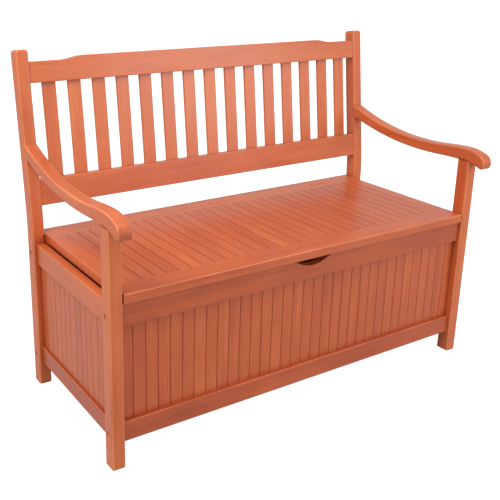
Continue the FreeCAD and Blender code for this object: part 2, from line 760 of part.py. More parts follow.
def board_corners(pitch, thick, inward):
    """A board's section: an open joint and a bevel on each side of its face.

    The first coordinate runs across the board, the second is the depth behind its face,
    counted along inward, 1 or -1."""
    half = f"{pitch} / 2"
    profile = [
        (f"{half} - joint_close", thick),
        (f"{half} - joint_close", "joint_deep"),
        (f"{half} - joint_gap", "joint_deep"),
        (f"{half} - joint_gap", "joint_bevel"),
        (f"{half} - joint_gap - joint_bevel", "0"),
    ]
    right = [(across, f"{inward} * {depth}") for across, depth in profile]
    left = [(f"-({across})", f"{inward} * {depth}") for across, depth in reversed(profile)]
    return right + left


# ------------------------------------------------------- front and back of the box

def make_long_rail(name, face, inward, low, high, groove_low, groove_high, tools):
    """A rail between two uprights, grooved for the boards and drilled at both ends."""
    near = f"({face} + {inward} * rail_inset)"
    far = f"({face} + {inward} * (rail_inset + rail_thick))"
    groove_near = f"({face} + {inward} * board_inset)"
    groove_far = f"({face} + {inward} * (board_inset + board_thick))"
    if inward < 0:
        near, far = far, near
        groove_near, groove_far = groove_far, groove_near
    blank = block(f"{name}_blank", (f"-{LEG_INNER}", near, low), (LEG_INNER, far, high))
    eased = rounded(f"{name}_eased", blank, "rail_round", parallel_to(ALONG_X))
    groove = block(f"{name}_groove", (f"-{LEG_INNER} - cut_over", groove_near, groove_low),
                   (f"{LEG_INNER} + cut_over", groove_far, groove_high))
    return cut(name, eased, [groove] + tools)


def make_notch():
    """The finger notch's space: a hollow arc that runs out smoothly into the rail's top edge."""
    body, sketch = body_on("notch_body", "XZ_Plane")
    top = size(LID_LOW)
    half = size("notch_half")
    deep = size("notch_deep")
    hollow_radius = size("notch_radius")
    shoulder_radius = (half ** 2 + deep ** 2) / (2 * deep) - hollow_radius
    hollow = V(0, top - deep + hollow_radius, 0)
    right = V(half, top - shoulder_radius, 0)
    left = V(-half, top - shoulder_radius, 0)
    above = size("rail_thick")
    for piece in (
        arc(right, shoulder_radius, math.pi / 2, direction(right, hollow)),
        arc(hollow, hollow_radius, direction(hollow, left), direction(hollow, right)),
        arc(left, shoulder_radius, direction(left, hollow), math.pi / 2),
        Part.LineSegment(V(-half, top, 0), V(-half, top + above, 0)),
        Part.LineSegment(V(-half, top + above, 0), V(half, top + above, 0)),
        Part.LineSegment(V(half, top + above, 0), V(half, top, 0)),
    ):
        sketch.addGeometry(piece, False)
    pad(body, sketch, "rail_thick + 2 * rail_inset", reverse=True)
    body.setExpression(".Placement.Base.y", formula(FRONT))
    return body


def make_wall_boards(name, face, inward):
    """The upright boards of the front or the back."""
    pitch = f"(2 * {LEG_INNER} / front_board_count)"
    body, sketch = body_on(f"{name}_board", "XY_Plane")
    polygon(sketch, board_corners(pitch, "board_thick", inward))
    pad(body, sketch, BOARD_TALL)
    bind(body, {
        ".Placement.Base.y": f"{face} + {inward} * board_inset",
        ".Placement.Base.z": "low_rail_high - board_entry",
    })
    return repeated(name, body, row_of(int(size("front_board_count")), size(pitch)))


# ------------------------------------------------------------------------ floor

def make_floor_cleats():
    """Two cleats on the lower rails that carry the floor."""
    inner = "rail_inset + rail_thick"
    cleats = []
    for name, low, high in (
        ("front_cleat", f"{FRONT} + {inner}", f"{FRONT} + {inner} + cleat_wide"),
        ("rear_cleat", f"{REAR} - ({inner}) - cleat_wide", f"{REAR} - ({inner})"),
    ):
        blank = block(f"{name}_blank", (f"-{LEG_INNER}", low, "low_rail_low"),
                      (LEG_INNER, high, "low_rail_low + cleat_tall"))
        cleats.append(rounded(name, blank, "slat_round", parallel_to(ALONG_X)))
    return together("floor_cleats", cleats)


def make_floor_boards():
    """Floor boards laid front to back with drain gaps."""
    wide = f"((2 * {LEG_INNER} - 2 * floor_clear + floor_gap) / floor_count - floor_gap)"
    inner = "rail_inset + rail_thick + floor_side_gap"
    low = "low_rail_low + cleat_tall"
    blank = block("floor_board_blank", (f"-{wide} / 2", f"{FRONT} + {inner}", low),
                  (f"{wide} / 2", f"{REAR} - ({inner})", f"{low} + floor_thick"))
    eased = rounded("floor_board", blank, "slat_round", parallel_to(ALONG_Y))
    return repeated("floor_boards", eased, row_of(int(size("floor_count")), size(f"{wide} + floor_gap")))


# ------------------------------------------------------------------------- back

def draw_crest(sketch):
    """The upper back rail's face: level ends that rise smoothly to a level middle."""
    half = size(LEG_INNER)
    low = size("high_back_low")
    end = size("high_back_end")
    crest = size("high_back_crest")
    inner = size("crest_inner")
    outer = size("crest_outer")
    rise = crest - end
    radius = ((outer - inner) ** 2 + rise ** 2) / (4 * rise)
    lower = V(outer, end + radius, 0)
    upper = V(inner, crest - radius, 0)
    swing = direction(upper, lower)
    quarter = math.pi / 2
    for piece in (
        Part.LineSegment(V(-half, low, 0), V(half, low, 0)),
        Part.LineSegment(V(half, low, 0), V(half, end, 0)),
        Part.LineSegment(V(half, end, 0), V(outer, end, 0)),
        arc(lower, radius, swing - math.pi, -quarter),
        arc(upper, radius, swing, quarter),
        Part.LineSegment(V(inner, crest, 0), V(-inner, crest, 0)),
        arc(V(-inner, upper.y, 0), radius, quarter, math.pi - swing),
        arc(V(-outer, lower.y, 0), radius, -quarter, -swing),
        Part.LineSegment(V(-outer, end, 0), V(-half, end, 0)),
        Part.LineSegment(V(-half, end, 0), V(-half, low, 0)),
    ):
        sketch.addGeometry(piece, False)


def make_back_top_rail(slats):
    """The upper back rail with its tenons, housed for the slats."""
    body, sketch = body_on("back_top_body", "XZ_Plane")
    draw_crest(sketch)
    pad(body, sketch, "back_rail_thick", reverse=True)
    lean(body, "0", "back_inset", "0")
    half = size(LEG_INNER) - SHORT

    def runs_along(edge):
        ends = (edge.firstVertex().Point, edge.lastVertex().Point)
        return abs(ends[0].x - ends[1].x) > SHORT and min(abs(point.x) for point in ends) < half

    level = parallel_to(ALONG_X)
    eased = rounded("back_top_eased", body, "rail_round", lambda edge: level(edge) or runs_along(edge))
    return cut("back_top_rail_whole", joined("back_top_rail_tenoned", [eased, back_tenons["top"]]), [slats])


def make_back_low_rail(slats):
    """The lower back rail with its tenons, housed for the slats."""
    blank = lean_block("back_low_blank", (f"-{LEG_INNER}", "back_inset", "low_back_low"),
                       (LEG_INNER, "back_inset + back_rail_thick", "low_back_high"))
    eased = rounded("back_low_eased", blank, "rail_round", parallel_to(ALONG_X))
    return cut("back_low_rail_whole", joined("back_low_rail_tenoned", [eased, back_tenons["low"]]), [slats])


def make_back_slat(number):
    """One slat of the back, counted from the left."""
    gap = f"((2 * {LEG_INNER} - slat_count * slat_wide) / (slat_count + 1))"
    left = f"-{LEG_INNER} + {gap} + {number} * (slat_wide + {gap})"
    blank = lean_block(
        f"back_slat_blank_{number}",
        (left, f"{BACK_MIDDLE} - slat_thick / 2", "low_back_high - slat_entry"),
        (f"{left} + slat_wide", f"{BACK_MIDDLE} + slat_thick / 2", "high_back_low + slat_entry"),
    )
    up = sloping(0, 0, 1).sub(sloping(0, 0, 0))
    return rounded(f"back_slat_eased_{number}", blank, "slat_round", parallel_to(up))


# ---------------------------------------------------------------------- hinges

def knuckle_span(number):
    """Where one knuckle starts and stops along its hinge."""
    long = "((hinge_length - (knuckle_count - 1) * knuckle_gap) / knuckle_count)"
    start = f"(-hinge_length / 2 + {number} * ({long} + knuckle_gap))"
    return start, f"({start} + {long})"


def make_leaf(name, side, numbers):
    """One leaf of a hinge with its knuckles: side is 1 behind the seam and -1 ahead of it."""
    near = f"({SEAM} + {side} * leaf_half_gap)"
    far = f"({SEAM} + {side} * (leaf_half_gap + leaf_thick))"
    if side < 0:
        near, far = far, near
    plate = block(f"{name}_plate", ("-hinge_length / 2", near, f"{HINGE_HEIGHT} - leaf_drop"),
                  ("hinge_length / 2", far, f"{HINGE_HEIGHT} - leaf_clear"))
    pieces = [plate]
    for number in numbers:
        start, stop = knuckle_span(number)
        pieces.append(block(f"{name}_neck_{number}", (start, near, f"{HINGE_HEIGHT} - leaf_clear - cut_over"),
                            (stop, far, HINGE_HEIGHT)))
        pieces.append(rod(f"{name}_knuckle_{number}", (start, SEAM, HINGE_HEIGHT), ALONG_X,
                          "knuckle_radius", f"{stop} - {start}"))
    bore = rod(f"{name}_bore", ("-hinge_length / 2 - cut_over", SEAM, HINGE_HEIGHT), ALONG_X,
               "hinge_pin_radius + hinge_pin_play", "hinge_length + 2 * cut_over")
    return cut(f"{name}_leaf", joined(f"{name}_leaf_blank", pieces), [bore])


def make_leaf_screws(name, side):
    """The two screws of one leaf, their heads flush with it."""
    screws = []
    for label, hand in (("left", -1), ("right", 1)):
        start = (f"{hand} * leaf_screw_pitch / 2", f"{SEAM} + {side} * leaf_half_gap",
                 f"{HINGE_HEIGHT} - leaf_screw_drop")
        screws.append(countersunk(f"{name}_screw_{label}", start, V(0, side, 0), "leaf_screw_head",
                                  "leaf_screw_radius", "leaf_thick", "leaf_screw_long"))
    return together(f"{name}_screw_pair", screws)


def make_hinge_recess():
    """The space around a hinge's knuckles and leaves that is cut out of the wood."""
    round_space = rod("hinge_round_space", ("-hinge_length / 2 - knuckle_play", SEAM, HINGE_HEIGHT), ALONG_X,
                      "knuckle_radius + knuckle_play", "hinge_length + 2 * knuckle_play")
    half = "(leaf_half_gap + leaf_thick)"
    flat_space = block("hinge_flat_space",
                       ("-hinge_length / 2", f"{SEAM} - {half}", f"{HINGE_HEIGHT} - leaf_drop"),
                       ("hinge_length / 2", f"{SEAM} + {half}", HINGE_HEIGHT))
    return joined("hinge_space", [round_space, flat_space])


# ------------------------------------------------------------------- seat and lid

def make_rear_seat_board(tools):
    """The fixed board behind the lid, between the posts."""
    blank = block("rear_seat_blank", (f"-{LEG_INNER}", f"{SEAM} + seam_half_gap", LID_LOW),
                  (LEG_INNER, REAR, "seat_height"))
    return cut("rear_seat_whole", rounded("rear_seat_eased", blank, "seam_round", upper_edge_along_x), tools)


def upper_edge_along_x(edge):
    """Edges along the bench at the top of the seat."""
    return parallel_to(ALONG_X)(edge) and abs(edge.firstVertex().Point.z - size("seat_height")) < TOUCH


def make_lid_front_rail(tools):
    """The front rail of the lid, rounded along its front edges."""
    blank = block("lid_front_blank", (f"-{LID_HALF}", FRONT, LID_LOW),
                  (LID_HALF, f"{FRONT} + lid_front_wide", "seat_height"))
    ahead = size(FRONT) + TOUCH

    def at_front(edge):
        ends = (edge.firstVertex().Point, edge.lastVertex().Point)
        return all(point.y < ahead for point in ends)

    return cut("lid_front_whole", rounded("lid_front_eased", blank, "lid_edge_round", at_front), tools)


def make_lid_rear_rail(tools):
    """The rear rail of the lid, rounded along the seam."""
    blank = block("lid_rear_blank", (f"-{LID_HALF}", f"{LID_REAR} - lid_rear_wide", LID_LOW),
                  (LID_HALF, LID_REAR, "seat_height"))
    behind = size(LID_REAR) - TOUCH
    eased = rounded("lid_rear_eased", blank, "seam_round",
                    lambda edge: upper_edge_along_x(edge) and edge.firstVertex().Point.y > behind)
    return cut("lid_rear_whole", eased, tools)


def make_lid_end_tenon():
    """The tenon that runs out of both ends of a lid end rail."""
    return block(
        "lid_end_tenon",
        (f"-{LID_HALF} + lid_tenon_shoulder", f"{FRONT} + lid_front_wide - lid_tenon_long",
         f"{LID_LOW} + (lid_thick - lid_tenon_thick) / 2"),
        (f"-{LID_SLATS_HALF} - lid_tenon_shoulder", f"{LID_REAR} - lid_rear_wide + lid_tenon_long",
         f"{LID_LOW} + (lid_thick + lid_tenon_thick) / 2"),
    )


def make_lid_end_rail(tenon):
    """The left-hand end rail of the lid."""
    blank = block("lid_end_blank", (f"-{LID_HALF}", f"{FRONT} + lid_front_wide", LID_LOW),
                  (f"-{LID_SLATS_HALF}", f"{LID_REAR} - lid_rear_wide", "seat_height"))
    outside = size(f"-{LID_HALF}") + TOUCH
    along = parallel_to(ALONG_Y)
    eased = rounded("lid_end_eased", blank, "rail_round",
                    lambda edge: along(edge) and edge.firstVertex().Point.x < outside)
    return joined("lid_end_whole", [eased, tenon])


def make_lid_slats(screws):
    """The lid's slats, front to back, with an open joint between neighbours."""
    body, sketch = body_on("lid_slat", "XZ_Plane")
    polygon(sketch, board_corners("lid_slat_pitch", "lid_slat_thick", -1))
    pad(body, sketch, f"{LID_REAR} - lid_rear_wide - {FRONT} - lid_front_wide", reverse=True)
    bind(body, {
        ".Placement.Base.y": f"{FRONT} + lid_front_wide",
        ".Placement.Base.z": "seat_height",
    })
    steps = row_of(int(size("lid_slat_count")), size("lid_slat_pitch"))
    return cut("lid_slats_whole", repeated("lid_slat_row", body, steps), [screws])


def make_batten(name, middle):
    """A batten across the underside of the lid's slats."""
    top = "seat_height - lid_slat_thick"
    blank = block(f"{name}_blank",
                  (f"-{LID_SLATS_HALF} + lid_side_gap", f"{FRONT} + {middle} - batten_wide / 2",
                   f"{top} - batten_thick"),
                  (f"{LID_SLATS_HALF} - lid_side_gap", f"{FRONT} + {middle} + batten_wide / 2", top))
    below = size(f"{top} - batten_thick") + TOUCH
    along = parallel_to(ALONG_X)
    return rounded(f"{name}_eased", blank, "rail_round",
                   lambda edge: along(edge) and edge.firstVertex().Point.z < below)


def make_batten_screws():
    """Countersunk screws up through both battens into the slats."""
    steps = row_of(int(size("batten_screw_count")), size("batten_screw_pitch"))
    rows = []
    for middle in ("batten_front", "batten_rear"):
        start = ("0", f"{FRONT} + {middle}", "seat_height - lid_slat_thick - batten_thick")
        screw = countersunk(f"{middle}_screw", start, ALONG_Z, "batten_screw_head", "batten_screw_radius",
                            "batten_screw_head - batten_screw_radius", "batten_screw_long")
        rows.append(repeated(f"{middle}_screws", screw, steps))
    return together("batten_screws", rows)


# --------------------------------------------------------------------- assembly

def build_sides():
    """Both side frames: leg, post, arm, rails and boards."""
    air_top = f"({LID_LOW} - side_air_gap)"
    top_tenon = make_side_tenon("top", "side_top_thick", "top_rail_low", air_top)
    low_tenon = make_side_tenon("low", "side_low_thick", "side_rail_low", "low_rail_high")
    tenons = [top_tenon, low_tenon]
    top_rail = make_side_rail("top", "side_top_thick", "top_rail_low", air_top, top_tenon,
                              "top_rail_low - cut_over", "top_rail_low + groove_deep")
    low_rail = make_side_rail("low", "side_low_thick", "side_rail_low", "low_rail_high", low_tenon,
                              "low_rail_high - groove_deep", "low_rail_high + cut_over")
    pins = make_arm_pins()
    arm_tenon = make_arm_tenon()
    leg, leg_tenon = make_front_leg(tenons)
    leg = cut("front_leg_pinned", leg, pins)
    post_tools = tenons + [arm_tenon] + pins[2:] + list(back_tenons.values())
    post_tools += fixings["back_top"]["upright"] + fixings["back_low"]["upright"]
    post = make_rear_post(post_tools)
    arm = make_arm(arm_tenon, leg_tenon, pins)
    pairs = {
        "front_leg": leg,
        "rear_post": post,
        "armrest": arm,
        "side_top_rail": top_rail,
        "side_bottom_rail": low_rail,
        "side_boards": make_side_boards(),
    }
    for name, left_piece in pairs.items():
        node(left_piece, "left_" + name)
        node(mirrored(left_piece, f"right_{name}_mirror"), "right_" + name)
    pin_set = together("left_arm_pins", pins)
    node(together("arm_pin_set", [pin_set, mirrored(pin_set, "right_arm_pins")]), "armrest_pins")


def build_front_and_back():
    """The long walls of the box, and the floor."""
    top_groove = ("top_rail_low - cut_over", "top_rail_low + groove_deep")
    low_groove = ("low_rail_high - groove_deep", "low_rail_high + cut_over")
    for name, face, inward in (("front", FRONT, 1), ("back", REAR, -1)):
        top_tools = both_ends(fixings[f"{name}_top"]["rail"])
        if name == "front":
            top_tools.append(make_notch())
        top = make_long_rail(f"{name}_top", face, inward, "top_rail_low", LID_LOW, *top_groove, top_tools)
        low = make_long_rail(f"{name}_low", face, inward, "low_rail_low", "low_rail_high", *low_groove,
                             both_ends(fixings[f"{name}_low"]["rail"]))
        node(top, f"{name}_top_rail")
        node(low, f"{name}_bottom_rail")
        node(make_wall_boards(f"{name}_boards", face, inward), f"{name}_boards")
    node(make_floor_cleats(), "floor_cleats")
    node(make_floor_boards(), "floor_boards")


def build_back():
    """The leaning back: two rails and their slats."""
    slats = [make_back_slat(number) for number in range(int(size("slat_count")))]
    slat_set = together("back_slat_set", slats)
    node(make_back_top_rail(slat_set), "backrest_top_rail")
    node(make_back_low_rail(slat_set), "backrest_bottom_rail")
    for number, slat in enumerate(slats, 1):
        node(slat, f"back_slat_{number:02d}")


def build_seat():
    """The rear seat board, the lid and the hinges between them."""
    places = row_of(int(size("hinge_count")), size("hinge_pitch"))
    fixed_screws = make_leaf_screws("box_leaf", 1)
    lid_screws = make_leaf_screws("lid_leaf", -1)
    fixed_leaf = cut("box_leaf_whole", make_leaf("box", 1, (0, 2, 4)), [fixed_screws])
    lid_leaf = cut("lid_leaf_whole", make_leaf("lid", -1, (1, 3)), [lid_screws])
    pin = rod("hinge_pin", ("-hinge_length / 2", SEAM, HINGE_HEIGHT), ALONG_X,
              "hinge_pin_radius", "hinge_length")
    spaces = repeated("hinge_spaces", make_hinge_recess(), places)
    fixed_screw_set = repeated("hinge_box_screws", fixed_screws, places)
    lid_screw_set = repeated("hinge_lid_screws", lid_screws, places)

    node(make_rear_seat_board([spaces, fixed_screw_set]), "rear_seat_board")
    node(repeated("hinge_box_leaves", fixed_leaf, places), "hinge_box_leaves")
    node(repeated("hinge_lid_leaves", lid_leaf, places), "hinge_lid_leaves")
    node(repeated("hinge_pins", pin, places), "hinge_pins")
    node(fixed_screw_set, "hinge_box_screws")
    node(lid_screw_set, "hinge_lid_screws")

    tenon = make_lid_end_tenon()
    tenons = [tenon, mirrored(tenon, "lid_end_tenon_right")]
    batten_screws = make_batten_screws()
    node(make_lid_front_rail(tenons), "lid_front_rail")
    node(make_lid_rear_rail(tenons + [spaces, lid_screw_set]), "lid_rear_rail")
    end_rail = make_lid_end_rail(tenon)
    node(end_rail, "lid_left_rail")
    node(mirrored(end_rail, "lid_end_right"), "lid_right_rail")
    node(make_lid_slats(batten_screws), "lid_slats")
    for name, middle in (("lid_front_batten", "batten_front"), ("lid_rear_batten", "batten_rear")):
        node(cut(f"{name}_drilled", make_batten(name, middle), [batten_screws]), name)
    node(batten_screws, "lid_batten_screws")


def build_hardware():
    """The bolts and barrel nuts that join the long rails to the uprights."""
    for kind, name in (("bolt", "frame_bolts"), ("nut", "barrel_nuts")):
        left_set = together(f"left_{name}", [fixing[kind] for fixing in fixings.values()])
        right_set = mirrored(left_set, f"right_{name}")
        node(together(f"{name}_set", [left_set, right_set]), name)


def check_and_write():
    """Stop if any object or shape is wrong, then write each sub-part."""
    doc.recompute()
    for thing in doc.Objects:
        if "Invalid" in thing.State or "Error" in thing.State:
            raise RuntimeError(f"{thing.Name} failed: {thing.State}")
    names = [thing.Label for thing in nodes]
    if len(set(names)) != len(names):
        raise RuntimeError("two sub-parts share a name")
    for thing in nodes:
        if thing.Shape.isNull() or not thing.Shape.isValid() or not thing.Shape.Solids:
            raise RuntimeError(f"{thing.Label} has a bad shape")
    os.makedirs("parts", exist_ok=True)
    for thing in nodes:
        thing.Shape.exportStep(f"parts/{thing.Label}.step")


build_sides()
build_front_and_back()
build_back()
build_seat()
build_hardware()
check_and_write()
whole = Part.makeCompound([thing.Shape for thing in nodes])
print(len(nodes), "sub-parts,", len(whole.Solids), "solids,", whole.BoundBox)
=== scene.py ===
import math
import random

import bpy
from mathutils import Matrix, Vector


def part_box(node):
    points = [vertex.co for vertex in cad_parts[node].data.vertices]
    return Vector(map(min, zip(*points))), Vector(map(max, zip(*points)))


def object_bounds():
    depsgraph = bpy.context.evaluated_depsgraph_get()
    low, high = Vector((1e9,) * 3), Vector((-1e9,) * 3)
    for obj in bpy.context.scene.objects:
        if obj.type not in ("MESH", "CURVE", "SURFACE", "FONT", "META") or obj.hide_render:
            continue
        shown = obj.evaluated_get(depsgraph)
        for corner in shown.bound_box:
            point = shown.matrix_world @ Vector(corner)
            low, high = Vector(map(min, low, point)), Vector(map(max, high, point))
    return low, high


# Garden storage bench.  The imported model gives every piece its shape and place; this script
# gives each one its finish: stained and varnished hardwood, dark wooden pins, plated steel and
# brown lacquered steel.  Lengths are in metres, and noise is in waves per metre.

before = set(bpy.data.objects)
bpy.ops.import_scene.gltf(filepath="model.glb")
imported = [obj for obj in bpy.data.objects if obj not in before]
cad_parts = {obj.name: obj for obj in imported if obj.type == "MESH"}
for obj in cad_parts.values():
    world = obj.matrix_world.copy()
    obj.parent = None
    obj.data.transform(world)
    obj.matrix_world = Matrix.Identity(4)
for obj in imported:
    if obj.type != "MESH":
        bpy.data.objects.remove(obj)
cad_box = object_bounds()
scene = bpy.context.scene

# Boards and slats that share one CAD node, counted across it.
WALL_BOARDS = 33
SIDE_BOARDS = 13
LID_SLATS = 30
FLOOR_BOARDS = 14
FLOOR_GAP = 0.003

LEAN = math.radians(6.92)          # slope of the back
HALF_LEAN = LEAN / 2               # the posts are sawn from one straight plank

# Which way the grain runs in a piece: the turn that brings it onto the texture's own X.
GRAIN = {
    "along": (0.0, 0.0, 0.0),
    "deep": (0.0, 0.0, -math.pi / 2),
    "up": (0.0, math.pi / 2, 0.0),
    "post": (HALF_LEAN, math.pi / 2, 0.0),
    "back": (LEAN, math.pi / 2, 0.0),
}

# The wood's stain, from its dark streaks to its light ground.
STAIN_DARK = (0.320, 0.046, 0.012)
STAIN_RED = (0.510, 0.094, 0.025)
STAIN_GROUND = (0.600, 0.130, 0.035)
STAIN_LIGHT = (0.720, 0.202, 0.058)
STAIN_WORN_AND_HIGHLIGHT = (0.860, 0.330, 0.150)     # and along the rounded edges: stain worn thin, and a painted highlight
STAIN_STOPS = ((0.15, STAIN_DARK), (0.40, STAIN_RED), (0.52, STAIN_GROUND), (0.78, STAIN_LIGHT))

# The grain's layers: waves along the grain and across it.
FIGURE_WAVES = (1.3, 14.0, 14.0)       # growth figure
STREAK_WAVES = (2.0, 80.0, 80.0)
MOTTLE_WAVES = (5.0, 11.0, 11.0)       # uneven stain
PORE_WAVES = (22.0, 620.0, 620.0)      # open pores
FIBRE_WAVES = (8.0, 380.0, 380.0)
FIGURE_BENDS = 0.8                     # how far the figure is pulled out of straight
BANDS_IN_FIGURE = 11.0                 # growth bands in one swing of the figure

# How far each layer swings the stain between dark and light.
FIGURE_SWING = 0.26
BAND_SWING = 0.05
STREAK_SWING = 0.20
MOTTLE_SWING = 0.24
PIECE_VARIES = 0.02                    # shade of one piece against another
BOARD_VARIES = 0.016                   # shade of one board against another
LOG_SPREAD = 9.0                       # how far apart the pieces are cut from the log
BOARD_SPREAD = 7.0                     # and the boards of one piece

# Where the wood is darker, and by how much: its stain, and painted shade in grooves and corners.
PORE_RANGE = (0.60, 0.74)              # pore noise, from closed wood to a full pore
PORE_STAIN = 0.30
FIBRE_RANGE = (0.25, 0.75)
FIBRE_SHADE = (0.95, 1.05)
END_RANGE = (0.72, 0.97)               # how squarely a face turns its grain's end out
END_STAIN = 0.20
GROOVE_SHADE_REACH = 0.0026                     # how far from a board's edge the painted shade of its groove reaches
GROOVE_SHADE_STRENGTH = 0.05                   # how dark that painted shade gets
LID_GROOVE_SHADE_STRENGTH = 0.85               # and on the lid, where the painted shade in the grooves is darker
CORNER_DEPTH = 0.022                   # how far out of an inside corner the painted shade reaches
CORNER_SAMPLES = 6
CORNER_RANGE = (0.35, 0.97)            # share of open sky, from a tight corner to an open face
CORNER_SHADE = 0.60                    # how dark the painted shade gets there
JOINT_SHADE = 0.10                     # and a fainter painted shade on the legs and arms, which are sanded flush together

# Where it is lighter along the rounded edges, in patches: worn thin, and a painted highlight.
EDGE_RANGE = (0.78, 0.97)              # how squarely a face looks along one of the piece's sides
PATCH_RANGE = (0.30, 0.70)             # mottle, from the least worn patch to the most
PATCH_WEAR_AND_HIGHLIGHT = (0.20, 0.55)

GLOSS_RANGE = (0.7, 1.3)               # streaks and mottle together
VARNISH_ROUGHNESS = (0.34, 0.46)
WOOD_RELIEF = 0.00008
VARNISH = {"IOR": 1.45, "Coat Weight": 0.25, "Coat Roughness": 0.20, "Coat IOR": 1.45}

# How much lighter or darker a piece is than the rest: partly its own stain, partly painted shade
# and light, darker on the front, the lid and the lower rails, lighter on the legs, posts and
# backrest.
PIECE_TONES_AND_SHADES = {
    "front_boards": -0.09, "back_boards": -0.05, "front_top_rail": -0.15,
    "front_bottom_rail": -0.16, "left_side_boards": -0.04, "right_side_boards": -0.04,
    "left_side_bottom_rail": -0.17, "lid_slats": -0.07, "lid_front_rail": -0.06,
    "left_front_leg": 0.05, "right_front_leg": 0.02, "left_rear_post": 0.05,
    "backrest_top_rail": 0.03, "backrest_bottom_rail": 0.01,
}
BACK_SLAT_TONE_AND_SHADE = 0.05

# Finishes of the small hard parts.  clouds and fine are (waves, detail) of the coloured patches
# and of the relief; colours are the patches' stops.
HARD_FINISHES = {
    "plated_steel": {               # a cool grey with fine drawn lines
        "clouds": ((260.0, 260.0, 260.0), 3.0), "fine": ((120.0, 2400.0, 2400.0), 1.0),
        "colours": ((0.30, (0.36, 0.35, 0.33)), (0.55, (0.52, 0.51, 0.49)),
                    (0.75, (0.63, 0.62, 0.60))),
        "roughness": (0.30, 0.50), "relief": 0.00003, "metallic": 1.0},
    "brown_steel": {                # a brown lacquer, worn a little lighter in patches
        "clouds": ((220.0, 220.0, 220.0), 4.0), "fine": ((1500.0, 1500.0, 1500.0), 1.0),
        "colours": ((0.30, (0.46, 0.105, 0.040)), (0.52, (0.58, 0.155, 0.064)),
                    (0.76, (0.68, 0.210, 0.095))),
        "roughness": (0.38, 0.55), "relief": 0.00002, "metallic": 0.0},
    "end_grain_plug": {             # a hardwood pin's sawn end, coloured nearly black
        "clouds": ((900.0, 900.0, 900.0), 2.0), "fine": ((900.0, 900.0, 900.0), 2.0),
        "colours": ((0.30, (0.030, 0.007, 0.003)), (0.52, (0.060, 0.014, 0.006)),
                    (0.76, (0.110, 0.028, 0.012))),
        "roughness": (0.45, 0.60), "relief": 0.00004, "metallic": 0.0},
}
CLOUD_RANGE = (0.3, 0.7)               # cloud noise, from the smoothest patch to the roughest
FIXINGS = {
    "plated_steel": ("barrel_nuts", "lid_batten_screws"),
    "brown_steel": ("frame_bolts", "hinge_box_leaves", "hinge_lid_leaves", "hinge_pins",
                    "hinge_box_screws", "hinge_lid_screws"),
    "end_grain_plug": ("armrest_pins",),
}

FLOOR_SIZE = 300.0
FLOOR_WAVES = (3.0, 3.0, 3.0)
FLOOR_STOPS = ((0.3, (0.36, 0.36, 0.36)), (0.7, (0.39, 0.39, 0.39)))
FLOOR_ROUGHNESS = 0.9
FLOOR_GLOW = 0.92                      # brightness that the floor has for the camera alone
FLOOR_SHINE = 0.30                     # and in reflections
SKY_LIGHT = 0.70                       # strength of the even light from all around
WHITE = (1.0, 1.0, 1.0, 1.0)

# The softboxes: place, what each one faces, width, and power in watts.
MIDDLE = (cad_box[0] + cad_box[1]) / 2
SOFTBOXES = {
    "key": ((1.6, -2.4, 1.2), MIDDLE, 1.3, 28.0),
    "left": ((-1.8, -0.6, 2.4), (-0.3, 0.0, 0.6), 1.0, 30.0),
    "top": ((0.1, -0.9, 3.2), MIDDLE, 0.5, 9.0),
    "end": ((-3.2, 0.1, 1.4), MIDDLE, 1.6, 12.0),
}

# The camera: a little above the arms, to the left of the front.
CAMERA_PLACE = (-1.2945, -1.7068, 1.1888)
CAMERA_TURN = math.radians(32.001)     # to the right of straight back
CAMERA_DIP = math.radians(17.549)
CAMERA_ROLL = math.radians(0.546)
SENSOR_WIDTH = 36.0                    # mm
FOCAL_LENGTH = 56.6                    # mm
LENS_SHIFT = (0.1176, -0.0990)

# Sockets of a Mix node that mixes colours.
MIX_SHARE, MIX_FIRST, MIX_SECOND, MIX_RESULT = 0, 6, 7, 2

# How the editor shows a tree: steps to the right and down, and nodes in a diagonal run.
NODE_STEP = (180, -160)
NODE_RUN = 5


# ------------------------------------------------------------------ shader building

